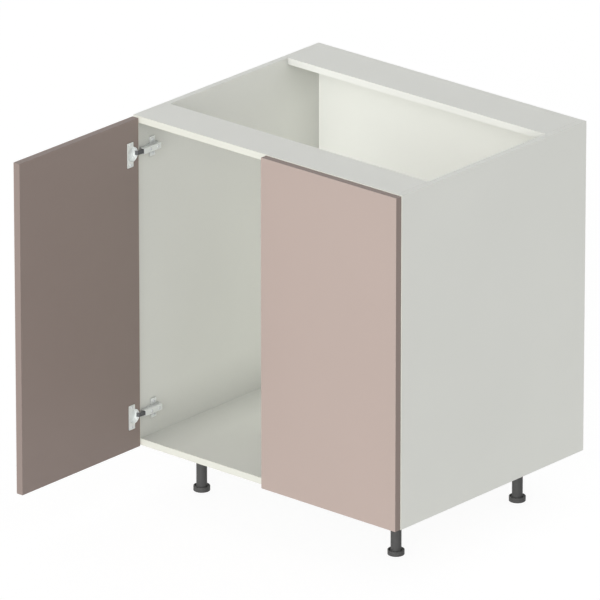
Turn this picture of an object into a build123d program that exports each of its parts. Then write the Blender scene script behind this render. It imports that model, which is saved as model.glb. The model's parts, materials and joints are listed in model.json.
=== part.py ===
from build123d import *
import math
import os

# Sink base cabinet: a frameless board carcass on four levelling legs, open at the top for the
# sink, with two overlay doors on concealed cup hinges. The left door stands open at a right
# angle, the right door is shut.
#
# Everything is laid out from the front, lower, left corner of the carcass: X to the right,
# Y to the rear, Z up, in millimetres. The finished pieces are then moved so that the origin is
# on the floor, under the middle of the space that the cabinet takes up with one door open.

# ---------------------------------------------------------------- carcass
cabinet_width = 800.0
cabinet_depth = 640.0
carcass_height = 800.0
board = 16.0
back_board = 18.0
front_rail_depth = 108.0
back_rail_depth = 108.0
banding = 1.0

# ---------------------------------------------------------------- doors
door_thickness = 18.0
facing = 1.0
door_banding = 1.0
side_reveal = 0.75
end_reveal = 1.0
centre_gap = 1.5
door_gap = 1.5

# Where the door stands when it is square to the front: how far its inner face is from the
# cabinet's side, and how far its hinged edge is in front of the carcass.
open_face = 22.5
open_edge = 7.5

# ---------------------------------------------------------------- hinges
lower_hinge = 80.0
upper_hinge_from_top = 83.0

cup_radius = 17.5
cup_margin = 3.5
cup_depth = 11.5
cup_wall = 0.9
cup_floor = 0.8
bore_clearance = 0.3
flange_overlap = 0.35
flange_thickness = 1.0
wing_width = 20.5
wing_height = 59.5
wing_start = 18.2
wing_corner = 2.0
cup_screw_offset = 7.0
cup_screw_spacing = 48.0
cup_screw_radius = 1.75
cup_screw_length = 11.0
cup_screw_head_radius = 3.4
cup_screw_head = 1.0

pin_radius = 1.0
pin_play = 0.05
pin_from_edge = 7.4
pin_depth = 2.0
cup_pin_length = 19.6
arm_pin_height = 11.5

link_width = 9.6
link_plate = 1.6
link_eye = 1.9
link_knee_rise = 2.7
link_knee_radius = 2.4

arm_height = 15.0
arm_width = 13.6
arm_sheet = 1.2
arm_nose = 2.2
arm_rear = 59.5
arm_corner = 0.9
arm_wall_gap = 1.2
arm_seat_gap = 0.3

plate_centre = 44.0
plate_width = 17.0
plate_length = 46.5
plate_corner = 2.0
plate_thickness = 3.0
saddle_width = 17.0
saddle_thickness = 2.6
saddle_front = 21.5
saddle_rear = 60.5
saddle_corner = 1.0
block_front = 23.0
block_rear = 56.5
block_height = 9.5
block_side_gap = 0.3
plate_screw_spacing = 32.0
plate_screw_radius = 2.5
plate_screw_length = 12.0
plate_screw_head_radius = 3.9
plate_screw_head = 1.4

side_screw_y = 24.5
depth_screw_y = 49.5
adjuster_radius = 2.0
adjuster_head_radius = 3.6
adjuster_head = 1.3
adjuster_reach = 8.0
adjuster_clearance = 0.15

# ---------------------------------------------------------------- legs
leg_height = 120.0
leg_from_side = 107.0
leg_from_front = 108.5
leg_from_back = 105.5
tube_radius = 12.5
stem_radius = 9.0
stem_play = 0.1
stem_length = 62.0
foot_radius = 19.5
foot_height = 12.0
foot_rim = 1.0
socket_radius = 27.0
socket_plate = 3.0
collar_wall = 3.5
collar_length = 28.0
collar_play = 0.1
rib_thickness = 2.5
rib_count = 6
socket_screw_circle = 21.5
socket_screw_radius = 1.75
socket_screw_length = 13.0
socket_screw_head_radius = 3.4
socket_screw_head = 2.0

# ---------------------------------------------------------------- hidden fittings
dowel_radius = 4.0
dowel_length = 30.0
dowel_in_side = 10.0
cam_radius = 7.5
cam_depth = 12.5
cam_reach = 34.0
bolt_radius = 3.5
bolt_in_side = 11.0
fitting_play = 0.1
rail_dowel_offset = 35.0
bottom_dowels = (60.0, 320.0, 580.0)
bottom_cams = (110.0, 530.0)
back_dowels = (180.0, 400.0, 620.0)

# ---------------------------------------------------------------- worked out from the above
middle = cabinet_width / 2
door_width = middle - side_reveal - centre_gap / 2
door_height = carcass_height - 2 * end_reveal
door_core = door_thickness - facing
cup_centre = cup_margin + cup_radius
bore_depth = cup_depth + cup_floor + bore_clearance
mouth_radius = cup_radius - cup_wall
front_reach = open_edge + door_width
rear_rail_front = cabinet_depth - back_board - back_rail_depth
hinge_heights = {"lower": lower_hinge, "upper": carcass_height - upper_hinge_from_top}


# ---------------------------------------------------------------- helpers
def block(x0, x1, y0, y1, z0, z1):
    """A box between two corners."""
    size = Box(x1 - x0, y1 - y0, z1 - z0)
    return Pos((x0 + x1) / 2, (y0 + y1) / 2, (z0 + z1) / 2) * size


def upright(x, y, z0, z1, radius):
    """A round bar along Z."""
    return Pos(x, y, (z0 + z1) / 2) * Cylinder(radius, z1 - z0)


def across(x0, x1, y, z, radius):
    """A round bar along X."""
    return Pos((x0 + x1) / 2, y, z) * Rot(0, 90, 0) * Cylinder(radius, x1 - x0)


def inward(x, y0, y1, z, radius):
    """A round bar along Y."""
    return Pos(x, (y0 + y1) / 2, z) * Rot(90, 0, 0) * Cylinder(radius, y1 - y0)


def to_right(shape):
    """The same piece on the cabinet's other side."""
    return mirror(shape, about=Plane.YZ.offset(middle))


# ---------------------------------------------------------------- hinge geometry, seen from above
def hinge_pivots():
    """Where the hinge's two pivots are: the arm's, and the cup's with the door shut and open.

    The link keeps its length, so the arm's pivot is as far from the cup's pivot with the door
    shut as with it open: it lies on the line that halves the two. Its height off the side
    panel then gives the point on that line.
    """
    shut = (side_reveal + pin_from_edge, -door_gap - pin_depth)
    opened = (open_face - pin_depth, -open_edge - pin_from_edge)
    halfway = ((shut[0] + opened[0]) / 2, (shut[1] + opened[1]) / 2)
    slope = (opened[0] - shut[0]) / (shut[1] - opened[1])
    arm_x = board + arm_pin_height
    arm_y = halfway[1] + (arm_x - halfway[0]) * slope
    return (arm_x, arm_y), shut, opened


arm_pivot, cup_pivot_shut, cup_pivot_open = hinge_pivots()


def link_swing():
    """The angle, in degrees, that the link turns through while the door opens by 90."""
    shut = math.atan2(cup_pivot_shut[1] - arm_pivot[1], cup_pivot_shut[0] - arm_pivot[0])
    opened = math.atan2(cup_pivot_open[1] - arm_pivot[1], cup_pivot_open[0] - arm_pivot[0])
    return math.degrees(opened - shut)


def shut_door(shape):
    """Place a piece drawn on the door's own axes on the left door, shut.

    On those axes X runs from the hinged edge along the door, Y goes from the front face to
    the inner face, which is at Y = 0, and Z is the height above the carcass's underside.
    """
    return Pos(side_reveal, -door_gap, 0) * shape


def open_door(shape):
    """Place a piece drawn on the door's own axes on the left door, open by 90 degrees."""
    return Pos(open_face, -open_edge, 0) * Rot(0, 0, -90) * shape


# ---------------------------------------------------------------- fittings inside the boards
def rail_joint_places():
    """The middle line (y) and board underside (z) of each rail."""
    under = carcass_height - board
    front = front_rail_depth / 2
    rear = rear_rail_front + back_rail_depth / 2
    return [(front, under), (rear, under)]


def left_dowels(play):
    """The dowels between the left side and the boards that meet it."""
    start = board - dowel_in_side
    end = start + dowel_length
    radius = dowel_radius + play
    rods = [across(start - play, end + play, y, board / 2, radius) for y in bottom_dowels]
    for y, under in rail_joint_places():
        for offset in (-rail_dowel_offset, rail_dowel_offset):
            rods.append(across(start - play, end + play, y + offset, under + board / 2, radius))
    for z in back_dowels:
        y = cabinet_depth - back_board / 2
        rods.append(across(start - play, end + play, y, z, radius))
    return rods


def cam_places():
    """The middle (y) and board underside (z) of each cam lock on the left."""
    return [(y, 0.0) for y in bottom_cams] + rail_joint_places()


def left_cams(play):
    """The cam locks: discs let into the undersides of the bottom and of the rails."""
    x = board + cam_reach
    cams = []
    for y, under in cam_places():
        cams.append(upright(x, y, under, under + cam_depth + play, cam_radius + play))
    return cams


def left_bolts(play):
    """The bolts screwed into the left side, whose heads the cam locks pull."""
    start = board - bolt_in_side - play
    end = board + cam_reach - cam_radius
    radius = bolt_radius + play
    return [across(start, end, y, under + board / 2, radius) for y, under in cam_places()]


# ---------------------------------------------------------------- carcass boards
def plate_screw_heights(z):
    """The heights of the two screws of a mounting plate whose hinge is at height z."""
    return [z - plate_screw_spacing / 2, z + plate_screw_spacing / 2]


def left_side_panel():
    panel = block(0, board, banding, cabinet_depth, 0, carcass_height)
    holes = left_dowels(fitting_play) + left_bolts(fitting_play)
    for height in hinge_heights.values():
        for z in plate_screw_heights(height):
            start = board - plate_screw_length
            holes.append(across(start, board, plate_centre, z, plate_screw_radius))
    return panel - holes


def leg_places():
    """The middles of the four legs, by name."""
    right = cabinet_width - leg_from_side
    rear = cabinet_depth - leg_from_back
    return {
        "front_left": (leg_from_side, leg_from_front),
        "front_right": (right, leg_from_front),
        "rear_left": (leg_from_side, rear),
        "rear_right": (right, rear),
    }


def socket_screw_places(x, y):
    """The four screws of one leg socket."""
    reach = socket_screw_circle * math.sqrt(0.5)
    return [(x + i * reach, y + j * reach) for i in (-1, 1) for j in (-1, 1)]


def bottom_panel():
    panel = block(board, cabinet_width - board, banding, cabinet_depth, 0, board)
    joints = left_dowels(fitting_play) + left_cams(fitting_play) + left_bolts(fitting_play)
    holes = joints + [to_right(hole) for hole in joints]
    for x, y in leg_places().values():
        for screw_x, screw_y in socket_screw_places(x, y):
            holes.append(upright(screw_x, screw_y, 0, socket_screw_length, socket_screw_radius))
    return panel - holes


def rail(y0, y1):
    """A flat rail under the worktop, between the sides."""
    top = carcass_height
    plain = block(board, cabinet_width - board, y0, y1, top - board, top)
    joints = left_dowels(fitting_play) + left_cams(fitting_play) + left_bolts(fitting_play)
    return plain - (joints + [to_right(hole) for hole in joints])


def back_panel():
    front = cabinet_depth - back_board
    right = cabinet_width - board
    plain = block(board, right, front, cabinet_depth, board, carcass_height)
    joints = left_dowels(fitting_play)
    return plain - (joints + [to_right(hole) for hole in joints])


def side_banding():
    return block(0, board, 0, banding, 0, carcass_height)


def cross_banding(z0):
    """The banding on the front edge of a board that runs between the sides."""
    return block(board, cabinet_width - board, 0, banding, z0, z0 + board)


def both_sides(shapes):
    """A list of pieces on the left, and the same pieces on the right."""
    return Compound(shapes + [to_right(shape) for shape in shapes])


# ---------------------------------------------------------------- doors, on the door's own axes
def cup_screws(z, play=0.0):
    """The two screws that hold a cup at height z, without their heads."""
    x = cup_centre + cup_screw_offset
    heights = (z - cup_screw_spacing / 2, z + cup_screw_spacing / 2)
    radius = cup_screw_radius + play
    return [inward(x, -cup_screw_length, flange_thickness, h, radius) for h in heights]


def door_core_panel():
    """The door's board, without its front facing and its edge banding, bored for two cups."""
    core = block(
        door_banding,
        door_width - door_banding,
        -door_core,
        0,
        end_reveal + door_banding,
        end_reveal + door_height - door_banding,
    )
    holes = []
    for z in hinge_heights.values():
        holes.append(inward(cup_centre, -bore_depth, 0, z, cup_radius + fitting_play))
        holes = holes + cup_screws(z)
    return core - holes


def door_facing():
    """The thin sheet that gives the door its front colour."""
    top = end_reveal + door_height
    return block(0, door_width, -door_thickness, -door_core, end_reveal, top)


def door_edging():
    """The bands on the door's four edges."""
    low = end_reveal
    high = end_reveal + door_height
    inner = door_width - door_banding
    left = block(0, door_banding, -door_core, 0, low, high)
    right = block(inner, door_width, -door_core, 0, low, high)
    bottom = block(door_banding, inner, -door_core, 0, low, low + door_banding)
    top = block(door_banding, inner, -door_core, 0, high - door_banding, high)
    return Compound([left, right, bottom, top])


def hinge_cup(z):
    """The cup: a round pot let into the door, with a flange that lies on the inner face."""
    flange_radius = cup_radius + flange_overlap
    wing_middle = wing_start + wing_width / 2
    outline = Pos(wing_middle, 0) * RectangleRounded(wing_width, wing_height, wing_corner)
    outline += Pos(cup_centre, 0) * Circle(flange_radius)
    # The sketch lies on XY, and is stood up so that its Y becomes the height.
    flange = Rot(90, 0, 0) * extrude(outline, flange_thickness)
    flange = Pos(0, flange_thickness, z) * flange
    pot = inward(cup_centre, -cup_depth - cup_floor, 0, z, cup_radius)
    mouth = inward(cup_centre, -cup_depth, flange_thickness, z, mouth_radius)
    half = cup_pin_length / 2
    pin_hole = upright(pin_from_edge, -pin_depth, z - half, z + half, pin_radius)
    return flange + pot - mouth - [pin_hole] - cup_screws(z)


def cup_pin(z):
    half = cup_pin_length / 2
    return upright(pin_from_edge, -pin_depth, z - half, z + half, pin_radius)


def cup_screw_set():
    """The cup screws of one door, with their heads."""
    screws = []
    head_top = flange_thickness + cup_screw_head
    x = cup_centre + cup_screw_offset
    for z in hinge_heights.values():
        for shank in cup_screws(z):
            height = shank.center().Z
            radius = cup_screw_head_radius
            head = inward(x, flange_thickness, head_top, height, radius)
            screws.append(shank + head)
    return Compound(screws)


# ---------------------------------------------------------------- link, with the door open
def open_link(z):
    """The gooseneck link between the arm and the cup, with rolled eyes at both ends."""
    knee = (open_face + link_knee_rise, cup_pivot_open[1])
    path = FilletPolyline(cup_pivot_open, knee, arm_pivot, radius=link_knee_radius)
    outline = trace(path, line_width=link_plate)
    for pivot in (cup_pivot_open, arm_pivot):
        outline += Pos(*pivot) * Circle(link_eye)
    for pivot in (cup_pivot_open, arm_pivot):
        outline -= Pos(*pivot) * Circle(pin_radius + pin_play)
    return Pos(0, 0, z - link_width / 2) * extrude(outline, link_width)


def shut_link(z):
    """The same link with the door shut."""
    centre = Pos(arm_pivot[0], arm_pivot[1], 0)
    return centre * Rot(0, 0, -link_swing()) * centre.inverse() * open_link(z)


# ---------------------------------------------------------------- arm and mounting plate
def adjusters(z, play=0.0):
    """The shanks of the two adjusting screws of the arm at height z."""
    outer = board + arm_height
    inner = outer - adjuster_reach
    radius = adjuster_radius + play
    return [across(inner, outer, y, z, radius) for y in (side_screw_y, depth_screw_y)]


def hinge_arm(z):
    """The arm: a folded channel over the mounting plate, open at its front for the link.

    In front of the saddle its sides come down close to the panel; behind that they end just
    above the saddle.
    """
    front = arm_pivot[1] - arm_nose
    outer = board + arm_height
    low = board + arm_wall_gap
    half = arm_width / 2
    shell = block(low, outer, front, arm_rear, z - half, z + half)
    shell = fillet(shell.edges().filter_by(Axis.Y).group_by(Axis.X)[-1], arm_corner)
    inside = half - arm_sheet
    rear = arm_rear - arm_sheet
    hollow = block(low, outer - arm_sheet, front, rear, z - inside, z + inside)
    seat = board + plate_thickness + saddle_thickness + arm_seat_gap
    step = saddle_front - arm_seat_gap
    saddle_room = block(low, seat, step, arm_rear, z - half, z + half)
    pin_hole = upright(arm_pivot[0], arm_pivot[1], z - half, z + half, pin_radius)
    return shell - hollow - saddle_room - pin_hole - adjusters(z, adjuster_clearance)


def arm_pin(z):
    half = arm_width / 2
    return upright(arm_pivot[0], arm_pivot[1], z - half, z + half, pin_radius)


def plate_screws(z):
    """The two screws that hold the mounting plate at height z, with their heads."""
    screws = []
    seat = board + plate_thickness
    for height in plate_screw_heights(z):
        shank = across(board - plate_screw_length, seat, plate_centre, height, plate_screw_radius)
        radius = plate_screw_head_radius
        head = across(seat, seat + plate_screw_head, plate_centre, height, radius)
        screws.append(shank + head)
    return screws


def hinge_plate(z):
    """The mounting plate: a wing screwed to the side panel, and a saddle that carries the arm.

    The arm sits on the saddle, over a block that its adjusting screws reach into.
    """
    on_side = Plane(origin=(board, plate_centre, z), x_dir=(0, 1, 0), z_dir=(1, 0, 0))
    wing = extrude(on_side * RectangleRounded(plate_width, plate_length, plate_corner), plate_thickness)
    seat = board + plate_thickness
    top = seat + saddle_thickness
    wide = saddle_width / 2
    saddle = block(board, top, saddle_front, saddle_rear, z - wide, z + wide)
    saddle = fillet(saddle.edges().filter_by(Axis.X), saddle_corner)
    half = arm_width / 2 - arm_sheet - block_side_gap
    crown = board + block_height
    raised = block(top, crown, block_front, block_rear, z - half, z + half)
    holes = adjusters(z, adjuster_clearance)
    for height in plate_screw_heights(z):
        holes.append(across(board, seat, plate_centre, height, plate_screw_radius))
    return wing + saddle + raised - holes


def adjusting_screws(z):
    """The arm's two adjusting screws, with their heads."""
    outer = board + arm_height
    screws = []
    for shank in adjusters(z):
        y = shank.center().Y
        screws.append(shank + across(outer, outer + adjuster_head, y, z, adjuster_head_radius))
    return screws


# ---------------------------------------------------------------- legs
def leg_socket(x, y):
    """The socket under the bottom panel: a round plate with a ribbed collar for the tube."""
    collar_radius = tube_radius + collar_play + collar_wall
    plate = upright(x, y, -socket_plate, 0, socket_radius)
    collar = upright(x, y, -socket_plate - collar_length, -socket_plate, collar_radius)
    rib_end = socket_radius - 2.0
    rib = Polyline(
        (0, -socket_plate),
        (rib_end, -socket_plate),
        (collar_radius, -socket_plate - collar_length),
        (0, -socket_plate - collar_length),
        close=True,
    )
    rib = extrude(Plane.XZ * make_face(rib), rib_thickness / 2, both=True)
    body = plate + collar
    for number in range(rib_count):
        body += Pos(x, y, 0) * Rot(0, 0, 360 / rib_count * number) * rib
    bore = upright(x, y, -socket_plate - collar_length, -socket_plate, tube_radius + collar_play)
    holes = [bore]
    for screw_x, screw_y in socket_screw_places(x, y):
        holes.append(upright(screw_x, screw_y, -socket_plate, 0, socket_screw_radius))
        low = -socket_plate - collar_length
        holes.append(upright(screw_x, screw_y, low, -socket_plate, socket_screw_head_radius + 0.4))
    return body - holes


def leg_tube(x, y):
    """The leg's tube, from the socket down to the foot."""
    low = foot_height - leg_height
    outer = upright(x, y, low, -socket_plate, tube_radius)
    return outer - upright(x, y, low, -socket_plate, stem_radius + stem_play)


def foot(x, y):
    """The levelling foot: a flat round base on a stem that runs in the tube."""
    low = -leg_height
    base = upright(x, y, low, low + foot_height, foot_radius)
    base = fillet(base.edges().group_by(Axis.Z)[-1], foot_rim)
    return base + upright(x, y, low, low + foot_height + stem_length, stem_radius)


def socket_screws(x, y):
    screws = []
    low = -socket_plate - socket_screw_head
    for screw_x, screw_y in socket_screw_places(x, y):
        shank = upright(screw_x, screw_y, -socket_plate, socket_screw_length, socket_screw_radius)
        head = upright(screw_x, screw_y, low, -socket_plate, socket_screw_head_radius)
        screws.append(shank + head)
    return screws


# ---------------------------------------------------------------- all pieces
def carcass_pieces():
    left = left_side_panel()
    rear_rail = rail(rear_rail_front, cabinet_depth - back_board)
    return {
        "left_side_panel": left,
        "right_side_panel": to_right(left),
        "bottom_panel": bottom_panel(),
        "front_rail": rail(banding, front_rail_depth),
        "back_rail": rear_rail,
        "back_panel": back_panel(),
        "left_side_banding": side_banding(),
        "right_side_banding": to_right(side_banding()),
        "bottom_banding": cross_banding(0),
        "front_rail_banding": cross_banding(carcass_height - board),
        "dowels": both_sides(left_dowels(0)),
        "cam_locks": both_sides([cam - left_bolts(0) for cam in left_cams(0)]),
        "cam_bolts": both_sides(left_bolts(0)),
    }


def door_pieces():
    core = door_core_panel()
    pins = Compound([cup_pin(z) for z in hinge_heights.values()])
    own = {
        "door_core": core,
        "door_facing": door_facing(),
        "door_edging": door_edging(),
        "cup_screws": cup_screw_set(),
        "cup_pins": pins,
    }
    pieces = {}
    for name, shape in own.items():
        pieces["left_" + name] = open_door(shape)
        pieces["right_" + name] = to_right(shut_door(shape))
    return pieces


def hinge_pieces():
    pieces = {}
    plate_fixings = []
    adjusting = []
    pins = []
    for level, z in hinge_heights.items():
        plate = hinge_plate(z)
        arm = hinge_arm(z)
        cup = hinge_cup(z)
        pieces[level + "_left_hinge_plate"] = plate
        pieces[level + "_right_hinge_plate"] = to_right(plate)
        pieces[level + "_left_hinge_arm"] = arm
        pieces[level + "_right_hinge_arm"] = to_right(arm)
        pieces[level + "_left_hinge_cup"] = open_door(cup)
        pieces[level + "_right_hinge_cup"] = to_right(shut_door(cup))
        pieces[level + "_left_hinge_link"] = open_link(z)
        pieces[level + "_right_hinge_link"] = to_right(shut_link(z))
        plate_fixings = plate_fixings + plate_screws(z)
        adjusting = adjusting + adjusting_screws(z)
        pins.append(arm_pin(z))
    pieces["hinge_plate_screws"] = both_sides(plate_fixings)
    pieces["hinge_adjusting_screws"] = both_sides(adjusting)
    pieces["hinge_arm_pins"] = both_sides(pins)
    return pieces


def leg_pieces():
    pieces = {}
    screws = []
    for name, (x, y) in leg_places().items():
        pieces[name + "_leg_socket"] = leg_socket(x, y)
        pieces[name + "_leg_tube"] = leg_tube(x, y)
        pieces[name + "_foot"] = foot(x, y)
        screws = screws + socket_screws(x, y)
    pieces["leg_socket_screws"] = Compound(screws)
    return pieces


def main():
    os.makedirs("parts", exist_ok=True)
    to_floor = Pos(-middle, (front_reach - cabinet_depth) / 2, leg_height)
    pieces = {**carcass_pieces(), **door_pieces(), **hinge_pieces(), **leg_pieces()}
    for name, shape in pieces.items():
        export_step(to_floor * shape, f"parts/{name}.step")
    print("pieces", len(pieces))
    print("arm pivot", arm_pivot, "cup pivot shut", cup_pivot_shut, "open", cup_pivot_open)
    print("link turns by", link_swing(), "degrees while the door opens by 90")


main()
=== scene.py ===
# %% [markdown]
# # A sink base cabinet
#
# The object is a fitted kitchen unit: a white melamine carcass with an open top for a sink,
# two pink-beige doors on concealed hinges, and four black plastic legs. Its solids are already
# modelled at their real size, so this script starts from them and gives every piece its finish,
# its eased edges and its small fixings. Blender works in metres here, and the frame comes in
# with its own axes: X runs to the right, Y to the rear and Z up from the floor.

# %% Load the frame
import json
import math

import bmesh
import bpy
from mathutils import Matrix, Vector

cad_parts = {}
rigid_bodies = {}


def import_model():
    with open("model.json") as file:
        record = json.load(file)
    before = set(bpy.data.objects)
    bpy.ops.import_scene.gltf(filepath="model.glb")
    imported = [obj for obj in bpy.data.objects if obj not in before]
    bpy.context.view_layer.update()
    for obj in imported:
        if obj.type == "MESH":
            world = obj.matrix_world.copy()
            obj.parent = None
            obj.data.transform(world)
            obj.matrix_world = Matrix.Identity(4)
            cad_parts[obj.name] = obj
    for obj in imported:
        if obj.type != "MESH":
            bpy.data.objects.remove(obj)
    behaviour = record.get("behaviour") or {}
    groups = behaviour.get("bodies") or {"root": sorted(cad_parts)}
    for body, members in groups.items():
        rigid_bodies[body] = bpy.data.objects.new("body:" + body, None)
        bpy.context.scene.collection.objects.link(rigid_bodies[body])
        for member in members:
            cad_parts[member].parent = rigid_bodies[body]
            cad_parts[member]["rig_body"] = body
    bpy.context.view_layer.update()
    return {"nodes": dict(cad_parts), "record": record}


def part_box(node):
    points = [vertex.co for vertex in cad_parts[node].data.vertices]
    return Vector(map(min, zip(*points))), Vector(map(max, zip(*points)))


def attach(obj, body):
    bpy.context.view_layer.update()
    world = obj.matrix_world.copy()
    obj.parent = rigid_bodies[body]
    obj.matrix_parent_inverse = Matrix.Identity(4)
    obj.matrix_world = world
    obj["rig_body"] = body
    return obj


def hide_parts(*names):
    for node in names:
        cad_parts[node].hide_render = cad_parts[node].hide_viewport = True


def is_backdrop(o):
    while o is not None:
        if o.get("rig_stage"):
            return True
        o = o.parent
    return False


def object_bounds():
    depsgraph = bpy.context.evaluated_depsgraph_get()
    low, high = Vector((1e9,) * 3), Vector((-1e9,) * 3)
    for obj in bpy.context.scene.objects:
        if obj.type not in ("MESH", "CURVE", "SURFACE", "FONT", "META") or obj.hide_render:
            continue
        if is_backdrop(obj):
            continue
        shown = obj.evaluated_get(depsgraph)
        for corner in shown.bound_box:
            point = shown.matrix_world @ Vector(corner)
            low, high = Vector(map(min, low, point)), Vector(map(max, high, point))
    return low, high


MM = 0.001

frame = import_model()
nodes = frame["nodes"]
body_of = {name: solid["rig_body"] for name, solid in nodes.items()}
slot_of = {row["node"]: row["material_slot"] for row in frame["record"]["subparts"]}

# %% [markdown]
# ## The camera
#
# The cabinet was photographed from far away with a long lens, so that its upright edges stay
# nearly parallel. A perspective camera with the same long lens, the same direction and the same
# distance gives the same foreshortening. An orthographic camera would come close, but it would
# lose the slight narrowing towards the back.

# %% Camera
VIEW_TURN = 41.058
VIEW_TILT = 21.076
LENS = 657.6
SENSOR = 36.0
CAMERA_PLACE = (15.16494, -17.41185, 9.43638)
FAR_CLIP = 60.0

camera_data = bpy.data.cameras.new("camera")
camera_data.lens = LENS
camera_data.sensor_width = SENSOR
camera_data.clip_end = FAR_CLIP
camera = bpy.data.objects.new("camera", camera_data)
camera.location = CAMERA_PLACE
camera.rotation_euler = (math.radians(90 - VIEW_TILT), 0, math.radians(VIEW_TURN))
bpy.context.scene.collection.objects.link(camera)
bpy.context.scene.camera = camera
print("camera lens", LENS)

# %% [markdown]
# ## Light, background and floor
#
# The light is that of a white studio tent with very large soft lamps round it. The tent is the
# world: an even white. What the camera, a mirror or a pane would see of it is plain white of
# strength 1, and what lights the cabinet is about half of that. The Light Path node tells the
# two kinds of ray apart. The same split serves the floor, so it is a helper. The view transform
# is Standard, so that a colour renders about as it is written.

# %% Helpers for node trees


def add(tree, kind, **settings):
    """A new node with its settings."""
    node = tree.nodes.new(kind)
    for key, value in settings.items():
        setattr(node, key, value)
    return node


def add_shader(tree, kind, **values):
    """The output of a new shader node with plain values on its sockets."""
    node = add(tree, kind)
    for label, value in values.items():
        node.inputs[label].default_value = value
    return node.outputs[0]


def calculate(tree, operation, *values):
    """A Math node. A value is a number or another node's output."""
    node = add(tree, "ShaderNodeMath", operation=operation)
    for socket, value in zip(node.inputs, values):
        if isinstance(value, (int, float)):
            socket.default_value = value
        else:
            tree.links.new(value, socket)
    return node.outputs[0]


def seen_directly(tree):
    """1 for what the camera, a reflection or a refraction sees, and 0 for what lights things."""
    path = add(tree, "ShaderNodeLightPath")
    shown = calculate(tree, "MAXIMUM", path.outputs["Is Camera Ray"], path.outputs["Is Glossy Ray"])
    return calculate(tree, "MAXIMUM", shown, path.outputs["Is Transmission Ray"])


def end_tree(tree, end_kind, lighting, shown):
    """Ends a tree with one shader that lights things and another that is seen directly."""
    mix = add(tree, "ShaderNodeMixShader")
    tree.links.new(seen_directly(tree), mix.inputs[0])
    tree.links.new(lighting, mix.inputs[1])
    tree.links.new(shown, mix.inputs[2])
    end = add(tree, end_kind)
    tree.links.new(mix.outputs[0], end.inputs["Surface"])


bpy.context.scene.view_settings.view_transform = "Standard"
print("view transform", bpy.context.scene.view_settings.view_transform)

# %% [markdown]
# The world has no picture, only an even white at two strengths: one for lighting and one to be
# seen.

# %% World
WORLD_STRENGTH = 0.49
SHOWN_STRENGTH = 1.0
PURE_WHITE = (1, 1, 1, 1)


def make_world():
    """The studio tent."""
    world = bpy.data.worlds.new("studio")
    world.use_nodes = True
    tree = world.node_tree
    tree.nodes.clear()
    light = add_shader(tree, "ShaderNodeBackground", Color=PURE_WHITE, Strength=WORLD_STRENGTH)
    white = add_shader(tree, "ShaderNodeBackground", Color=PURE_WHITE, Strength=SHOWN_STRENGTH)
    end_tree(tree, "ShaderNodeOutputWorld", light, white)
    bpy.context.scene.world = world
    print("world strength", WORLD_STRENGTH)


make_world()

# %% [markdown]
# The lamps are suns with a wide angle, because a sun's light is as strong at the back of a deep
# cabinet as at its front, and its wide angle keeps the shadows soft. A fill lamp beside the
# front lamp throws no shadows: it stands for the many reflectors that a studio puts round an
# open cabinet to light its inside. A weaker lamp from behind keeps the back and the left side
# from going grey.

# %% Lamps
# Each has its brightness, the way towards it, its angle in degrees, and whether it throws shadows.
LAMPS = {
    "front_lamp": (0.25, (0.44, -0.83, 0.32), 35.0, True),
    "fill_lamp": (0.42, (0.20, -0.97, 0.12), 35.0, False),
    "rear_lamp": (0.16, (-0.80, 0.60, 0.0), 40.0, True),
}


def make_lamp(name, brightness, towards, angle, shadows):
    """A soft sun. A white surface that faces it looks as bright as the number given."""
    data = bpy.data.lights.new(name, "SUN")
    data.energy = brightness * math.pi
    data.angle = math.radians(angle)
    data.use_shadow = shadows
    lamp = bpy.data.objects.new(name, data)
    lamp.rotation_euler = Vector(towards).to_track_quat("Z", "Y").to_euler()
    bpy.context.scene.collection.objects.link(lamp)
    print(name, "brightness", brightness)


for name, settings in LAMPS.items():
    make_lamp(name, *settings)

# %% [markdown]
# The floor is a large round sheet, pale enough to throw light back under the cabinet. To the
# camera it is nearly white by itself: a faint diffuse part keeps the soft shadow under the legs,
# and a glow lifts the rest to the background's white.

# %% Floor
FLOOR_RADIUS = 9.0
FLOOR_SIDES = 64
FLOOR_ALBEDO = 0.80
FLOOR_SHOWN = 0.16
FLOOR_GLOW = 0.90


def make_floor():
    """The floor, with one grey for the light that it throws back and another to be seen."""
    shape = bmesh.new()
    bmesh.ops.create_circle(shape, cap_ends=True, segments=FLOOR_SIDES, radius=FLOOR_RADIUS)
    mesh = bpy.data.meshes.new("floor")
    shape.to_mesh(mesh)
    shape.free()
    floor = bpy.data.objects.new("floor", mesh)
    bpy.context.scene.collection.objects.link(floor)
    material = bpy.data.materials.new("pale_floor")
    material.use_nodes = True
    tree = material.node_tree
    tree.nodes.clear()
    lit, faint = [
        add_shader(tree, "ShaderNodeBsdfDiffuse", Color=(grey, grey, grey, 1))
        for grey in (FLOOR_ALBEDO, FLOOR_SHOWN)
    ]
    glow = add_shader(tree, "ShaderNodeEmission", Strength=FLOOR_GLOW)
    both = add(tree, "ShaderNodeAddShader")
    tree.links.new(faint, both.inputs[0])
    tree.links.new(glow, both.inputs[1])
    end_tree(tree, "ShaderNodeOutputMaterial", lit, both.outputs[0])
    mesh.materials.append(material)
    floor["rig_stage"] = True
    print("floor radius", FLOOR_RADIUS)


make_floor()

# %% [markdown]
# ## Surface effects that several finishes share
#
# Four effects are built once, each as a node group with its own inputs. The coordinates come in
# from the material, and only masks and heights go out, so that each material keeps its own
# shader. A noise texture's values crowd round the middle, so most masks stretch a band of them
# to the whole range from 0 to 1. The bands are narrow where the pattern has to be crisp.

# %% Helpers for node groups
TONE_BAND = (0.3, 0.7)
LINE_BAND = (0.35, 0.65)
SCUFF_BAND = (0.58, 0.72)


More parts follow.
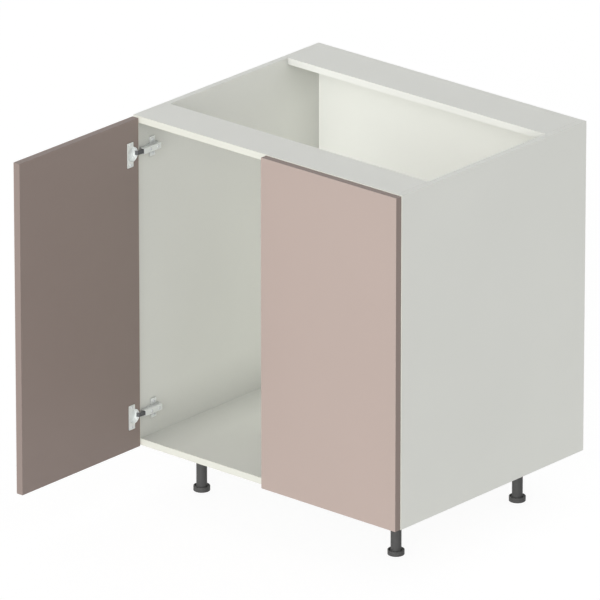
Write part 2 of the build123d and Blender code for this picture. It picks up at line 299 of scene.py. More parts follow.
def new_group(name, inputs, outputs):
    """An empty node group, with its two end nodes."""
    group = bpy.data.node_groups.new(name, "ShaderNodeTree")
    for label, kind, value in inputs:
        socket = group.interface.new_socket(label, in_out="INPUT", socket_type=kind)
        if value is not None:
            socket.default_value = value
    for label in outputs:
        group.interface.new_socket(label, in_out="OUTPUT", socket_type="NodeSocketFloat")
    start = add(group, "NodeGroupInput")
    end = add(group, "NodeGroupOutput")
    return group, start, end


def noise(tree, vector, scale, detail=2.0, roughness=0.5):
    """A Noise Texture's value."""
    node = add(tree, "ShaderNodeTexNoise")
    tree.links.new(vector, node.inputs["Vector"])
    tree.links.new(scale, node.inputs["Scale"])
    node.inputs["Detail"].default_value = detail
    node.inputs["Roughness"].default_value = roughness
    return node.outputs["Fac"]


def stretch_band(tree, value, low, high):
    """Stretches the part of a value between low and high to the range 0 to 1."""
    node = add(tree, "ShaderNodeMapRange", clamp=True)
    tree.links.new(value, node.inputs["Value"])
    node.inputs["From Min"].default_value = low
    node.inputs["From Max"].default_value = high
    return node.outputs["Result"]


print("bands", TONE_BAND, LINE_BAND, SCUFF_BAND)

# %% [markdown]
# `tone` is the slow unevenness of any real sheet, with a finer one beside it. `pearl` is the fine
# pressed texture of melamine and laminate: rounded cells, each of another height.

# %% Tone and pearl
FINE_TIMES_SLOW = 9.0


def make_tone():
    """Slow and fine unevenness, as two masks."""
    sockets = [("Vector", "NodeSocketVector", None), ("Scale", "NodeSocketFloat", 4.0)]
    group, start, end = new_group("tone", sockets, ["Slow", "Fine"])
    slow = noise(group, start.outputs["Vector"], start.outputs["Scale"], detail=3.0)
    finer = calculate(group, "MULTIPLY", start.outputs["Scale"], FINE_TIMES_SLOW)
    fine = noise(group, start.outputs["Vector"], finer, detail=4.0, roughness=0.6)
    group.links.new(stretch_band(group, slow, *TONE_BAND), end.inputs["Slow"])
    group.links.new(stretch_band(group, fine, *TONE_BAND), end.inputs["Fine"])
    return group


def make_pearl():
    """The height of a pearly pressed texture."""
    sockets = [("Vector", "NodeSocketVector", None), ("Scale", "NodeSocketFloat", 700.0)]
    group, start, end = new_group("pearl", sockets, ["Height"])
    bumps = add(group, "ShaderNodeTexVoronoi", feature="SMOOTH_F1")
    group.links.new(start.outputs["Vector"], bumps.inputs["Vector"])
    group.links.new(start.outputs["Scale"], bumps.inputs["Scale"])
    broken = noise(group, start.outputs["Vector"], start.outputs["Scale"], detail=1.0)
    height = calculate(group, "MULTIPLY", bumps.outputs["Distance"], broken)
    group.links.new(height, end.inputs["Height"])
    return group


TONE = make_tone()
PEARL = make_pearl()
print("node groups", TONE.name, PEARL.name)

# %% [markdown]
# `strokes` are fine parallel lines, as rolling, extrusion or the growth of wood leave them: a
# noise on coordinates that are squeezed along the lines. `specks` is the grain of a moulded or
# cast surface, with wider scuffs.

# %% Strokes and specks
SCUFF_TIMES_GRAIN = 0.06


def make_strokes():
    """Parallel lines, as a mask."""
    sockets = [
        ("Vector", "NodeSocketVector", None),
        ("Stretch", "NodeSocketVector", (1.0, 1.0, 1.0)),
        ("Scale", "NodeSocketFloat", 900.0),
    ]
    group, start, end = new_group("strokes", sockets, ["Lines"])
    squeezed = add(group, "ShaderNodeVectorMath", operation="MULTIPLY")
    group.links.new(start.outputs["Vector"], squeezed.inputs[0])
    group.links.new(start.outputs["Stretch"], squeezed.inputs[1])
    lines = noise(group, squeezed.outputs[0], start.outputs["Scale"], roughness=0.6)
    group.links.new(stretch_band(group, lines, *LINE_BAND), end.inputs["Lines"])
    return group


def make_specks():
    """The height of a fine grain, and a mask of scuffs."""
    sockets = [("Vector", "NodeSocketVector", None), ("Scale", "NodeSocketFloat", 1500.0)]
    group, start, end = new_group("specks", sockets, ["Height", "Scuffs"])
    grain = noise(group, start.outputs["Vector"], start.outputs["Scale"], roughness=0.7)
    group.links.new(grain, end.inputs["Height"])
    wide = calculate(group, "MULTIPLY", start.outputs["Scale"], SCUFF_TIMES_GRAIN)
    scuffs = noise(group, start.outputs["Vector"], wide, detail=6.0, roughness=0.75)
    group.links.new(stretch_band(group, scuffs, *SCUFF_BAND), end.inputs["Scuffs"])
    return group


STROKES = make_strokes()
SPECKS = make_specks()
print("node groups", STROKES.name, SPECKS.name)

# %% [markdown]
# ## Finishes
#
# Every finish starts the same way, with a Principled shader and the object's own coordinates.
# What the real surface has is then added: the pressed texture on the boards, lines along the
# edging, rolled lines on the hinges, grain in the plastic, and on large or plated surfaces the
# slow tone that keeps them from looking printed. The numbers that are the same all over a
# surface stay on the shader's own sockets.

# %% Helpers to start a finish


def start_finish(name, roughness, metallic=0.0, specular=0.5):
    """A material with its shader, and the object coordinates that its patterns read."""
    material = bpy.data.materials.new(name)
    material.use_nodes = True
    tree = material.node_tree
    shader = tree.nodes["Principled BSDF"]
    shader.inputs["Roughness"].default_value = roughness
    shader.inputs["Metallic"].default_value = metallic
    shader.inputs["Specular IOR Level"].default_value = specular
    where = add(tree, "ShaderNodeTexCoord")
    return material, tree, shader, where.outputs["Object"]


def use(tree, group, vector, **values):
    """Places a node group in a material, with this material's own values."""
    node = add(tree, "ShaderNodeGroup", node_tree=group)
    tree.links.new(vector, node.inputs["Vector"])
    for label, value in values.items():
        node.inputs[label].default_value = value
    return node


print("principled shader and object coordinates for every finish")

# %% [markdown]
# A mask from a node group goes into the shader in three ways: it blends two colours, it moves
# the roughness between two values, or as a height it gives a Bump node its relief.

# %% Helpers that put masks to use


def shade(colour, factor):
    """A colour made lighter or darker."""
    return tuple(part * factor for part in colour)


def blend(tree, mask, first, second):
    """A colour between two, by a mask. Each is a colour or another node's output."""
    node = add(tree, "ShaderNodeMix", data_type="RGBA")
    first_socket, second_socket = [socket for socket in node.inputs if socket.type == "RGBA"]
    tree.links.new(mask, node.inputs["Factor"])
    for socket, value in ((first_socket, first), (second_socket, second)):
        if isinstance(value, tuple):
            socket.default_value = (*value, 1.0)
        else:
            tree.links.new(value, socket)
    return next(socket for socket in node.outputs if socket.type == "RGBA")


def vary_colour(tree, mask, colour, darkest, lightest):
    """A colour that goes by a mask between two shares of its own brightness."""
    return blend(tree, mask, shade(colour, darkest), shade(colour, lightest))


def vary_roughness(tree, shader, mask, low, high):
    """Lets the shader's roughness go by a mask between two values."""
    node = add(tree, "ShaderNodeMapRange")
    tree.links.new(mask, node.inputs["Value"])
    node.inputs["To Min"].default_value = low
    node.inputs["To Max"].default_value = high
    tree.links.new(node.outputs["Result"], shader.inputs["Roughness"])


def emboss(tree, shader, height, depth, strength):
    """Turns a height into a surface relief of the given depth, in metres."""
    node = add(tree, "ShaderNodeBump")
    node.inputs["Distance"].default_value = depth
    node.inputs["Strength"].default_value = strength
    tree.links.new(height, node.inputs["Height"])
    tree.links.new(node.outputs["Normal"], shader.inputs["Normal"])


print("a tenth darker than white", shade((1.0, 1.0, 1.0), 0.9))

# %% [markdown]
# Shade is painted into the colour where a point is enclosed: in the cabinet's inside corners,
# round the hinges, and in the hinges' own hollows. An Ambient Occlusion node measures how
# enclosed a point is, by short rays: its reach says how far they look. The colour follows it
# towards the painted shade, and a higher falloff brings the shade in sooner. The node stays in
# the material itself, because shared groups here hold plain patterns only.

# %% Helper for painted shade in hollows
HOLLOW_SAMPLES = 8


def darken_hollows(tree, unshaded, dark, reach, falloff=1.0):
    """The colour in the open, painted nearer to dark as shade the more a point is enclosed."""
    openness = add(tree, "ShaderNodeAmbientOcclusion", samples=HOLLOW_SAMPLES)
    openness.inputs["Distance"].default_value = reach
    mask = calculate(tree, "POWER", openness.outputs["AO"], falloff)
    return blend(tree, mask, dark, unshaded)


print("rays per point", HOLLOW_SAMPLES)

# %% [markdown]
# ### Boards and doors
#
# Melamine board is printed paper pressed on chipboard with a resin that takes the press plate's
# texture: a satin sheen over pearls about a millimetre wide. The door's front sheet is the same
# kind of surface in pink-beige, and its back and edges are taupe. The edging is a strip of
# plastic with the fine lines of its extrusion. They run upright here, as most of the edging
# does. The carcass's edging is a little creamier than its boards.
#
# The white boards have shade painted into their corners. The boards that carry the hinges, which
# are the sides and the doors, also have a thin painted shadow close round each hinge, so the
# corners take a long reach and the hinges' shadow a short one. The long reach is less than the
# legs' height, so that the floor doesn't count.

# %% Board finishes
CORNER_REACH = 115.0 * MM
HINGE_SHADE_REACH = 5.0 * MM
HINGE_SHADE_FALLOFF = 2.5


def board_finish(name, colour, roughness, corner=1.0, hinge_shade=1.0):
    """Pressed board with painted shade: the last two numbers are how light its colour stays in
    corners and round hinges.
    """
    material, tree, shader, place = start_finish(name, roughness, specular=0.3)
    tone = use(tree, TONE, place, Scale=3.0)
    base = vary_colour(tree, tone.outputs["Slow"], colour, darkest=0.985, lightest=1.01)
    # Painted shade: darker in the corners, and in a thin line close round the hinges.
    if corner < 1:
        base = darken_hollows(tree, base, shade(colour, corner), CORNER_REACH)
    if hinge_shade < 1:
        base = darken_hollows(tree, base, shade(colour, hinge_shade), HINGE_SHADE_REACH, HINGE_SHADE_FALLOFF)
    tree.links.new(base, shader.inputs["Base Color"])
    vary_roughness(tree, shader, tone.outputs["Fine"], roughness - 0.04, roughness + 0.05)
    pearl = use(tree, PEARL, place, Scale=700.0)
    emboss(tree, shader, pearl.outputs["Height"], depth=0.05 * MM, strength=0.5)
    return material


def edging_finish(name, colour, roughness, specular, stretch):
    """Extruded plastic strip."""
    material, tree, shader, place = start_finish(name, roughness, specular=specular)
    tone = use(tree, TONE, place, Scale=6.0)
    base = vary_colour(tree, tone.outputs["Slow"], colour, darkest=0.985, lightest=1.01)
    tree.links.new(base, shader.inputs["Base Color"])
    lines = use(tree, STROKES, place, Stretch=stretch, Scale=1200.0)
    vary_roughness(tree, shader, lines.outputs["Lines"], roughness - 0.03, roughness + 0.04)
    emboss(tree, shader, lines.outputs["Lines"], depth=0.02 * MM, strength=0.4)
    return material


WHITE = (0.845, 0.854, 0.805)
CREAM = (0.798, 0.806, 0.728)
PINK_BEIGE = (0.490, 0.397, 0.357)
TAUPE = (0.306, 0.247, 0.223)
UPRIGHT_LINES = (1.0, 1.0, 0.02)

# The three white materials are one melamine, with more or less shade painted into their corners and
# round the hinges.
finishes = {
    "carcass_board": board_finish("white_melamine", WHITE, 0.45, corner=0.5),
    "side_board": board_finish("white_side_melamine", WHITE, 0.45, corner=0.5, hinge_shade=0.75),
    "back_board": board_finish("white_back_melamine", shade(WHITE, 0.995), 0.48, corner=0.85),
    "edge_band": edging_finish("cream_edging", CREAM, 0.38, 0.3, UPRIGHT_LINES),
    "door_board": board_finish("taupe_melamine", TAUPE, 0.45, hinge_shade=0.35),
    "door_edge_band": edging_finish("taupe_edging", shade(TAUPE, 1.05), 0.50, 0.12, UPRIGHT_LINES),
    "door_front": board_finish("pink_beige_laminate", PINK_BEIGE, 0.42),
}
print("board finishes", sorted(finishes))

# %% [markdown]
# ### Metal
#
# The hinges are pressed steel with a pale satin nickel plating and the faint lines of rolled
# strip, which run level here. Their hollows are darker with painted shade. The links are dark
# too: their colour is painted shade for the mouths of the arms. Screws are zinc plated and a
# little bluer, with painted shade in their recesses. The cam locks are cast zinc with a dull skin.
# Plated parts are less than a third metal here: full metal would mirror the white tent and lose
# its shape.

# %% Metal finishes
HOLLOW_REACH = 14.0 * MM
HOLLOW_FALLOFF = 1.5


def plated_finish(name, colour, roughness, stretch, hollow=0.25):
    """A thin metal coat with shade painted into its hollows: hollow is how light its colour stays
    where it is fully enclosed.
    """
    material, tree, shader, place = start_finish(name, roughness, metallic=0.3)
    tone = use(tree, TONE, place, Scale=40.0)
    unshaded = vary_colour(tree, tone.outputs["Slow"], colour, darkest=0.96, lightest=1.02)
    # Painted shade: darker in the metal's hollows.
    base = darken_hollows(tree, unshaded, shade(colour, hollow), HOLLOW_REACH, HOLLOW_FALLOFF)
    tree.links.new(base, shader.inputs["Base Color"])
    lines = use(tree, STROKES, place, Stretch=stretch, Scale=1500.0)
    vary_roughness(tree, shader, lines.outputs["Lines"], roughness - 0.05, roughness + 0.07)
    emboss(tree, shader, lines.outputs["Lines"], depth=0.01 * MM, strength=0.3)
    return material


def cast_finish(name, colour, roughness):
    """Cast metal with a dull, grainy skin."""
    material, tree, shader, place = start_finish(name, roughness, metallic=1.0)
    specks = use(tree, SPECKS, place, Scale=1200.0)
    base = vary_colour(tree, specks.outputs["Scuffs"], colour, darkest=0.9, lightest=1.15)
    tree.links.new(base, shader.inputs["Base Color"])
    emboss(tree, shader, specks.outputs["Height"], depth=0.08 * MM, strength=0.6)
    return material


NICKEL = (0.950, 0.975, 0.962)
# The links' dark colour is painted shade for the mouths of the arms.
LINK_SHADE = (0.130, 0.132, 0.138)
ZINC = (0.860, 0.885, 0.895)
CAST_ZINC = (0.430, 0.430, 0.445)
LEVEL_LINES = (0.05, 0.05, 1.0)
NO_LINES = (1.0, 1.0, 1.0)

# Each plated finish has shade painted into its hollows, the cups least.
finishes["hinge_steel"] = plated_finish("nickel_plating", NICKEL, 0.45, LEVEL_LINES)
finishes["cup_steel"] = plated_finish("nickel_cup_plating", NICKEL, 0.45, LEVEL_LINES, hollow=0.8)
finishes["link_steel"] = plated_finish("oiled_steel", LINK_SHADE, 0.45, LEVEL_LINES)
finishes["screw_steel"] = plated_finish("zinc_plating", ZINC, 0.48, NO_LINES, hollow=0.5)
finishes["zinc_fitting"] = cast_finish("cast_zinc", CAST_ZINC, 0.50)
print("metal finishes", sorted(name for name in finishes if "steel" in name or "zinc" in name))

# %% [markdown]
# ### Wood and plastic
#
# Dowels are beech with short dark flecks along the grain, and lie along X. The legs are black
# plastic, moulded with a fine spark-eroded grain that scuffs grey.

# %% Wood and plastic finishes
FLECK_SHARPNESS = 4.0
FLECK_SHADE = 0.55
SCUFF_LIFT = 0.02


def wood_finish(name, colour, roughness):
    """Close-grained wood, with the grain along X."""
    material, tree, shader, place = start_finish(name, roughness)
    grain = use(tree, STROKES, place, Stretch=(0.04, 1.0, 1.0), Scale=700.0)
    flecks = use(tree, STROKES, place, Stretch=(0.15, 1.0, 1.0), Scale=1800.0)
    plain = vary_colour(tree, grain.outputs["Lines"], colour, darkest=0.85, lightest=1.1)
    marked = calculate(tree, "POWER", flecks.outputs["Lines"], FLECK_SHARPNESS)
    base = blend(tree, marked, plain, shade(colour, FLECK_SHADE))
    tree.links.new(base, shader.inputs["Base Color"])
    emboss(tree, shader, grain.outputs["Lines"], depth=0.05 * MM, strength=0.5)
    return material


def plastic_finish(name, colour, roughness):
    """Moulded plastic with a fine grain."""
    material, tree, shader, place = start_finish(name, roughness, specular=0.15)
    specks = use(tree, SPECKS, place, Scale=1600.0)
    scuffed = tuple(part + SCUFF_LIFT for part in colour)
    base = blend(tree, specks.outputs["Scuffs"], colour, scuffed)
    tree.links.new(base, shader.inputs["Base Color"])
    vary_roughness(tree, shader, specks.outputs["Scuffs"], roughness, roughness + 0.12)
    emboss(tree, shader, specks.outputs["Height"], depth=0.06 * MM, strength=0.6)
    return material


BEECH = (0.620, 0.420, 0.240)
BLACK_PLASTIC = (0.092, 0.092, 0.091)

finishes["beech"] = wood_finish("beech", BEECH, 0.60)
finishes["leg_plastic"] = plastic_finish("black_plastic", BLACK_PLASTIC, 0.48)
print("finishes", sorted(finishes))

# %% [markdown]
# ## Eased edges
#
# No edge of a real board is a knife edge: the edging's rim is rounded by a scraper, and even the
# board's own arris is broken with a file. That thin rounding is what catches the light. The
# solids have sharp edges, so each board is copied, its loose triangles are merged and dissolved
# back into whole faces, and then it can be bevelled as the real one is worked. `FLAT` is the
# angle below which triangles become one face, and `SHARP` the angle above which the shading
# keeps an edge crisp.

# %% Helpers for copies of carried-over pieces
WELD = 0.001 * MM
SLIVER = 0.002 * MM
FLAT = math.radians(0.5)
SHARP = math.radians(20)


def merged_copy(name):
    """A bmesh of a carried-over piece, with its loose triangles joined."""
    shape = bmesh.new()
    shape.from_mesh(nodes[name].data)
    bmesh.ops.remove_doubles(shape, verts=shape.verts, dist=WELD)
    bmesh.ops.dissolve_limit(shape, angle_limit=FLAT, verts=shape.verts, edges=shape.edges)
    return shape


def bevel(shape, edges, width, segments=2):
    """Rounds edges off, with the settings that the editor's bevel would use."""
    bmesh.ops.bevel(
        shape,
        geom=edges,
        offset=width,
        offset_type="OFFSET",
        segments=segments,
        profile=0.5,
        affect="EDGES",
        clamp_overlap=True,
        material=-1,
    )


def finish_piece(name, shape, slot, body, replaced=(), finish=None):
    """Turns a bmesh into a piece: smooth where it curves, dressed, and riding on its body."""
    mesh = bpy.data.meshes.new(name)
    shape.to_mesh(mesh)
    shape.free()
    mesh.shade_smooth()
    mesh.set_sharp_from_angle(angle=SHARP)
    mesh.materials.append(finishes[finish or slot])
    piece = bpy.data.objects.new(name, mesh)
    bpy.context.scene.collection.objects.link(piece)
    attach(piece, body)
    if replaced:
        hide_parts(*replaced)
    return piece


print("crisp above", round(math.degrees(SHARP)), "degrees")

# %% [markdown]
# A side is a board with a strip of edging on its front. It is worked as one: only the edges on
# the outline of board and strip together are bevelled, and the seam between them stays tight. An
# edge is on the outline where it lies on two sides of their common box.

# %% Helpers to find edges
TOUCH = 0.01 * MM


def box_of(names):
    """The box around several carried-over pieces."""
    boxes = [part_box(name) for name in names]
    low = [min(box[0][axis] for box in boxes) for axis in range(3)]
    high = [max(box[1][axis] for box in boxes) for axis in range(3)]
    return low, high


def on_outline(edge, low, high):
    """True where an edge lies on one of the twelve edges of a box."""
    sides = 0
    for axis in range(3):
        for limit in (low[axis], high[axis]):
            if all(abs(vert.co[axis] - limit) < TOUCH for vert in edge.verts):
                sides += 1
    return sides == 2


def runs_across(edge):
    """True where an edge runs along X, from side to side."""
    first, second = (vert.co for vert in edge.verts)
    return abs(first.x - second.x) > max(abs(first.y - second.y), abs(first.z - second.z))


side_low, side_high = box_of(["left_side_panel", "left_side_banding"])
print("depth of a side", round((side_high[1] - side_low[1]) / MM, 1), "mm")

# %% [markdown]
# The bevel is less than half a millimetre wide, which is what a scraper takes off. The sides have
# a finish of their own, because they carry painted shadow round the hinges.

# %% Ease the sides
EASE = 0.4 * MM


def ease_board(name, group, between_sides=False, width=EASE, finish=None):
    """Replaces a board by a copy whose outer edges are rounded."""
    low, high = box_of(group)
    shape = merged_copy(name)
    edges = [edge for edge in shape.edges if on_outline(edge, low, high)]
    if between_sides:
        edges = [edge for edge in edges if runs_across(edge)]
    bevel(shape, edges, width)
    finish_piece(name + "_eased", shape, slot_of[name], body_of[name], [name], finish)
    print(name, "edges eased", len(edges))


for side in ("left", "right"):
    panel, banding = side + "_side_panel", side + "_side_banding"
    ease_board(panel, [panel, banding], finish="side_board")
    ease_board(banding, [panel, banding])

# %% [markdown]
# The bottom, the rails and the back fit between the sides. Their ends butt against the sides and
# were cut square, so only the edges that run from side to side are rounded. The back's are
# broken more, and draw a faint light line along its joint with the back rail.

# %% Ease the boards between the sides
BACK_EASE = 1.0 * MM

for group in (["bottom_panel", "bottom_banding"], ["front_rail", "front_rail_banding"]):
    for name in group:
        ease_board(name, group, between_sides=True)
for name, width in (("back_rail", EASE), ("back_panel", BACK_EASE)):
    ease_board(name, [name], between_sides=True, width=width)

# %% [markdown]
# A door is three layers: the coloured front sheet, the board, and a strip of edging on each of
# its four edges. Only the door's own outline is rounded. The four strips look like one band that
# runs round the door, so they are made as one ring: a rectangle, inset by the strip's thickness,
# loses its middle, and the frame that is left is extruded to the board's depth.

# %% Ease the doors


def make_ring(low, high, thickness):
    """A closed rectangular ring, flat along the shortest side of its box."""
    depth = min(range(3), key=lambda axis: high[axis] - low[axis])
    across, along = [axis for axis in range(3) if axis != depth]
    shape = bmesh.new()
    corners = []
    for first, second in ((low, low), (high, low), (high, high), (low, high)):
        place = Vector(low)
        place[across] = first[across]
        place[along] = second[along]
        corners.append(shape.verts.new(place))
    middle = shape.faces.new(corners)
    middle.normal_update()
    bmesh.ops.inset_region(
        shape, faces=[middle], thickness=thickness, use_boundary=True, use_even_offset=True
    )
    bmesh.ops.delete(shape, geom=[middle], context="FACES_ONLY")
    pushed = bmesh.ops.extrude_face_region(shape, geom=shape.faces[:])
    verts = [item for item in pushed["geom"] if isinstance(item, bmesh.types.BMVert)]
    way = Vector((0, 0, 0))
    way[depth] = high[depth] - low[depth]
    bmesh.ops.translate(shape, verts=verts, vec=way)
    bmesh.ops.recalc_face_normals(shape, faces=shape.faces)
    return shape


for side in ("left", "right"):
    core, facing, edging = [side + "_door_" + part for part in ("core", "facing", "edging")]
    group = [core, facing, edging]
    ease_board(core, group)
    ease_board(facing, group)
    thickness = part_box(core)[0].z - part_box(edging)[0].z
    low, high = box_of(group)
    ring = make_ring(*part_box(edging), thickness)
    bevel(ring, [edge for edge in ring.edges if on_outline(edge, low, high)], EASE)
    finish_piece(edging + "_eased", ring, slot_of[edging], body_of[edging], [edging])
    print(edging, "thickness", round(thickness / MM, 2), "mm")

# %% [markdown]
# ## Hinges
#
# The hinges are pressed from strip: their cut edges come out of the tool slightly rounded, and
# the plating rounds them a little more. Here every sharp edge is a real edge, so the bevel takes
# all edges whose faces meet at a steep angle, with a width far below the metal's thickness. The
# slivers that the bevel leaves where edges crowd together are dissolved.

# %% Ease the hinge parts
METAL_EASE = 0.22 * MM
STEEP = math.radians(50)
OWN_FINISH = {"link": "link_steel", "cup": "cup_steel"}

for name in sorted(nodes):
    if slot_of[name] != "hinge_steel":
        continue
    shape = merged_copy(name)
    steep = [edge for edge in shape.edges if edge.is_manifold and edge.calc_face_angle(0) > STEEP]
    bevel(shape, steep, METAL_EASE)
    bmesh.ops.dissolve_degenerate(shape, dist=SLIVER, edges=shape.edges)
    finish = OWN_FINISH.get(name.rpartition("_")[2])
    body = body_of[name]
    piece = finish_piece(name + "_pressed", shape, "hinge_steel", body, [name], finish)
    print(piece.name, "faces", len(piece.data.polygons))

# %% [markdown]
# ## Screws
#
# Each screw has a low domed head with a cross recess. The recess could be cut with a boolean, but
# a circle of 24 points can be pulled straight into the outline of a cross: at every 15 degrees
# one point falls on an arm's end, on its corner, on its side or in the inner corner. The slack
# keeps a corner point on the arm's end where rounding puts it a hair past the corner. All sizes
# of the cross are shares of the head's radius.

# %% Outline of a cross recess
SIDES = 24
RECESS_ARM = 0.56
ARM_CORNER = math.radians(15)
ANGLE_SLACK = math.radians(0.5)
RECESS_HALF_WIDTH = RECESS_ARM * math.tan(ARM_CORNER)


def cross_reach(angle):
    """How far a cross's outline is from its middle, as a share of the head's radius."""
    off_axis = abs((angle + math.pi / 4) % (math.pi / 2) - math.pi / 4)
    if off_axis <= ARM_CORNER + ANGLE_SLACK:
        return RECESS_ARM / math.cos(off_axis)
    return RECESS_HALF_WIDTH / math.sin(off_axis)


for step in range(4):
    print("reach at", 15 * step, "degrees", round(cross_reach(step * ARM_CORNER), 3))

# %% [markdown]
# The whole screw grows from its point by one face, extruded again and again: shank, seat, dome,
# cross and recess floor. The dome's rings are shares of the head's radius and of its height, the
# point's end is a share of the shank's radius, and the taper is how much narrower the recess is
# at its floor.

# %% Helpers for one screw
POINT_WIDTH = 0.3
DOME = ((1.0, 0.45), (0.94, 0.72), (0.80, 0.92), (0.66, 1.0))
RECESS_TAPER = 0.45


def extrude_face(shape, face):
    """Extrudes a single face, and gives the new one."""
    return bmesh.ops.extrude_discrete_faces(shape, faces=[face])["faces"][0]


def move_to_ring(vert, reach, height):
    """Moves a point to a distance from the axis and to a height, and keeps its angle."""
    across = Vector((vert.co.x, vert.co.y, 0)).normalized() * reach
    vert.co = Vector((across.x, across.y, height))


def grow(shape, face, radius, height):
    """Extrudes a round face to a ring of this radius, at this height."""
    face = extrude_face(shape, face)
    for vert in face.verts:
        move_to_ring(vert, radius, height)
    return face


def make_screw(shape, head_radius, head_height, shank_radius, shank_length, recess_depth):
    """A screw along Z, head up, with the head's seat at height 0."""
    tip = shank_radius
    cone = bmesh.ops.create_cone(
        shape,
        cap_ends=True,
        segments=SIDES,
        radius1=POINT_WIDTH * shank_radius,
        radius2=shank_radius,
        depth=tip,
        matrix=Matrix.Translation((0, 0, -shank_length + tip / 2)),
    )
    made = set(cone["verts"])
    caps = {face for vert in made for face in vert.link_faces if len(face.verts) == SIDES}
    face = max(caps, key=lambda cap: cap.calc_center_median().z)
    face = grow(shape, face, shank_radius, 0)
    face = grow(shape, face, head_radius, 0)
    for radius, height in DOME:
        face = grow(shape, face, head_radius * radius, head_height * height)
    face = extrude_face(shape, face)
    for vert in face.verts:
        reach = cross_reach(math.atan2(vert.co.y, vert.co.x)) * head_radius
        move_to_ring(vert, reach, head_height)
    face = extrude_face(shape, face)
    for vert in face.verts:
        vert.co.x *= 1 - RECESS_TAPER
        vert.co.y *= 1 - RECESS_TAPER
        vert.co.z = head_height - recess_depth


print("rings in a dome", len(DOME))

# %% [markdown]
# Where each screw sits and how large it is comes from the plain screws of the carried-over model.
# One of its pieces can hold many screws, so it is taken apart first: points that hang together
# by edges are one screw. The screws keep the order of their points, so that each gets the same
# twist in every run. The twists differ, as a real driver leaves them.

# %% Helpers for sets of screws
FIRST_TWIST = 17
NEXT_TWIST = 31


def islands(name):
    """The boxes of the separate solids in one carried-over piece."""
    shape = merged_copy(name)
    unseen = set(shape.verts)
    boxes = []
    for first in shape.verts:
        if first not in unseen:
            continue
        unseen.remove(first)
        found = [first]
        for vert in found:
            near = {edge.other_vert(vert) for edge in vert.link_edges} & unseen
            unseen -= near
            found.extend(near)
        low = Vector([min(vert.co[axis] for vert in found) for axis in range(3)])
        high = Vector([max(vert.co[axis] for vert in found) for axis in range(3)])
        boxes.append((low, high))
    shape.free()
    return boxes


def place_screws(name, outward, head_height, shank_radius, recess_depth):
    """Replaces a set of plain screws. outward is where the heads face on the cabinet's left."""
    shape = bmesh.new()
    boxes = islands(name)
    for number, (low, high) in enumerate(boxes):
        way = Vector(outward)
        if way.x and low.x >= 0:
            way.x = -way.x
        axis = [abs(part) for part in way].index(1)
        across = (axis + 1) % 3
        head_radius = (high[across] - low[across]) / 2
        length = high[axis] - low[axis]
        shank_length = length - head_height
        seat = (low + high) / 2 + way * (length / 2 - head_height)
        single = bmesh.new()
        make_screw(single, head_radius, head_height, shank_radius, shank_length, recess_depth)
        twist = Matrix.Rotation(math.radians(FIRST_TWIST + NEXT_TWIST * number), 4, "Z")
        stand = way.to_track_quat("Z", "Y").to_matrix().to_4x4()
        single.transform(Matrix.Translation(seat) @ stand @ twist)
        bmesh.ops.recalc_face_normals(single, faces=single.faces)
        if single.calc_volume(signed=True) < 0:
            bmesh.ops.reverse_faces(single, faces=single.faces)
        mesh = bpy.data.meshes.new("single_screw")
        single.to_mesh(mesh)
        single.free()
        shape.from_mesh(mesh)
        bpy.data.meshes.remove(mesh)
    finish_piece(name + "_recessed", shape, "screw_steel", body_of[name], [name])
    print(name, "screws", len(boxes))


# %% [markdown]
# Flat-seated screws hold the cups in the doors, larger ones hold the mounting plates in the
# sides, and the two on each arm are machine screws: they set the door sideways and in depth. The
# open left door's cups face right, and the shut right door's face the rear. The screws of plates
# and arms face inwards from both sides, and the sockets' screws face the floor.

# %% Screws of the hinges and of the leg sockets
# Each set has the way its heads face, then the head's height, the shank's radius and the
# recess's depth in millimetres.
SCREWS = {
    "left_cup_screws": ((1, 0, 0), 1.0, 1.75, 1.3),
    "right_cup_screws": ((0, 1, 0), 1.0, 1.75, 1.3),
    "hinge_plate_screws": ((1, 0, 0), 1.4, 2.5, 1.9),
    "hinge_adjusting_screws": ((1, 0, 0), 1.3, 2.0, 1.7),
    "leg_socket_screws": ((0, 0, -1), 2.0, 1.75, 1.6),
}

for name, (outward, *sizes) in SCREWS.items():
    place_screws(name, outward, *[size * MM for size in sizes])

# %% [markdown]
# ## Levelling feet
#
# A foot is a round pad on a threaded stem that screws into the leg's tube. Turned out, the stem
# shows its thread, so the thread is real geometry. One zigzag line, standing for all the turns,
# is spun once round while it climbs by one pitch: each turn then meets the next. A turn has four
# corners, for a flat crest, a flank, a flat root and the other flank. The line is longer than
# the stem, and its two open ends are cut flat and closed.

# %% Stem of a foot
STEM_RADIUS = 9.0 * MM
THREAD_DEPTH = 1.0 * MM
THREAD_PITCH = 3.0 * MM
THREAD_STEPS = 48
SPARE_TURNS = 3


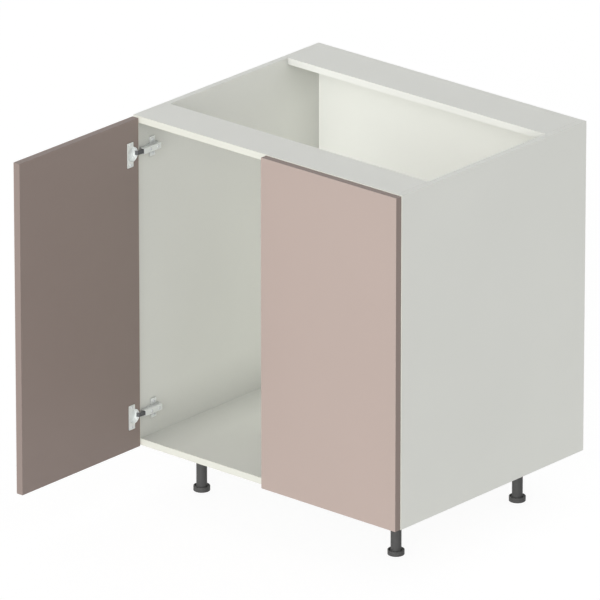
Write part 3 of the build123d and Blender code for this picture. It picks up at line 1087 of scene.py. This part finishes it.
def make_stem(low, high):
    """A threaded stem along Z between two heights, closed at both ends."""
    shape = bmesh.new()
    outer = STEM_RADIUS
    inner = STEM_RADIUS - THREAD_DEPTH
    turns = int((high - low) / THREAD_PITCH) + SPARE_TURNS
    line = []
    for turn in range(turns):
        start = low + (turn - SPARE_TURNS / 2) * THREAD_PITCH
        for radius, share in ((outer, 0.0), (outer, 0.25), (inner, 0.5), (inner, 0.75)):
            line.append(shape.verts.new((radius, 0, start + share * THREAD_PITCH)))
    line.append(shape.verts.new((outer, 0, low + (turns - SPARE_TURNS / 2) * THREAD_PITCH)))
    edges = [shape.edges.new(pair) for pair in zip(line, line[1:])]
    bmesh.ops.spin(
        shape,
        geom=line + edges,
        cent=(0, 0, 0),
        axis=(0, 0, 1),
        dvec=(0, 0, THREAD_PITCH / THREAD_STEPS),
        angle=math.tau,
        steps=THREAD_STEPS,
        use_merge=False,
    )
    bmesh.ops.remove_doubles(shape, verts=shape.verts, dist=TOUCH)
    for height, normal in ((low, -1), (high, 1)):
        cut = bmesh.ops.bisect_plane(
            shape,
            geom=shape.verts[:] + shape.edges[:] + shape.faces[:],
            plane_co=(0, 0, height),
            plane_no=(0, 0, normal),
            clear_outer=True,
        )
        rim = [item for item in cut["geom_cut"] if isinstance(item, bmesh.types.BMEdge)]
        bmesh.ops.edgeloop_fill(shape, edges=rim)
    bmesh.ops.dissolve_degenerate(shape, dist=SLIVER, edges=shape.edges)
    bmesh.ops.recalc_face_normals(shape, faces=shape.faces)
    return shape


print("thread", round(2 * STEM_RADIUS / MM), "mm across with a pitch of", THREAD_PITCH / MM, "mm")

# %% [markdown]
# The pad is a short cylinder with rounded rims. Two insets on its top leave a lip and a ring
# inside it, and the ring is sunk into a groove, where dust gathers on the real thing. The face
# in the middle carries the stem, which starts a little below it.

# %% Pads and feet
PAD_HEIGHT = 12.0 * MM
PAD_RIM = 1.0 * MM
PAD_SIDES = 72
GROOVE_LIP = 1.8 * MM
GROOVE_WIDTH = 3.6 * MM
GROOVE_DEPTH = 2.5 * MM
STEM_ROOT = 1.0 * MM


def make_pad(radius):
    """The pad under the stem, standing on height 0."""
    shape = bmesh.new()
    bmesh.ops.create_cone(
        shape,
        cap_ends=True,
        segments=PAD_SIDES,
        radius1=radius,
        radius2=radius,
        depth=PAD_HEIGHT,
        matrix=Matrix.Translation((0, 0, PAD_HEIGHT / 2)),
    )
    rims = [edge for edge in shape.edges if abs(edge.verts[0].co.z - edge.verts[1].co.z) < TOUCH]
    bevel(shape, rims, PAD_RIM, segments=3)
    top = [face for face in shape.faces if face.calc_center_median().z > PAD_HEIGHT - TOUCH]
    bmesh.ops.inset_region(shape, faces=top, thickness=GROOVE_LIP, use_even_offset=True)
    ring = bmesh.ops.inset_region(shape, faces=top, thickness=GROOVE_WIDTH, use_even_offset=True)
    pushed = bmesh.ops.extrude_face_region(shape, geom=ring["faces"])
    verts = [item for item in pushed["geom"] if isinstance(item, bmesh.types.BMVert)]
    bmesh.ops.translate(shape, verts=verts, vec=(0, 0, -GROOVE_DEPTH))
    bmesh.ops.delete(shape, geom=ring["faces"], context="FACES_ONLY")
    bmesh.ops.recalc_face_normals(shape, faces=shape.faces)
    return shape


for end in ("front", "rear"):
    for side in ("left", "right"):
        name = end + "_" + side + "_foot"
        low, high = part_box(name)
        middle = Matrix.Translation(((low.x + high.x) / 2, (low.y + high.y) / 2, low.z))
        pad = make_pad((high.x - low.x) / 2)
        pad.transform(middle)
        stem = make_stem(PAD_HEIGHT - STEM_ROOT, high.z - low.z)
        stem.transform(middle)
        body = body_of[name]
        foot = finish_piece(name + "_pad", pad, "leg_plastic", body, [name])
        finish_piece(name + "_stem", stem, "leg_plastic", body)
        print(name, "pad faces", len(foot.data.polygons))

# %% [markdown]
# ## The other pieces
#
# Pieces that are right as they came, such as the legs' tubes and the dowels, keep their shape
# and get their finish here. So do the hidden ones behind the new pieces, so that none is bare.

# %% Give every carried-over piece its finish
for name, solid in nodes.items():
    solid.data.materials.clear()
    solid.data.materials.append(finishes[slot_of[name]])
print("dressed", len(nodes), "pieces")

# %% [markdown]
# ## Sizes
#
# The box round the visual model is measured. The visual model has to stay inside the
# solids' box.

# %% Measure the box
low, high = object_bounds()
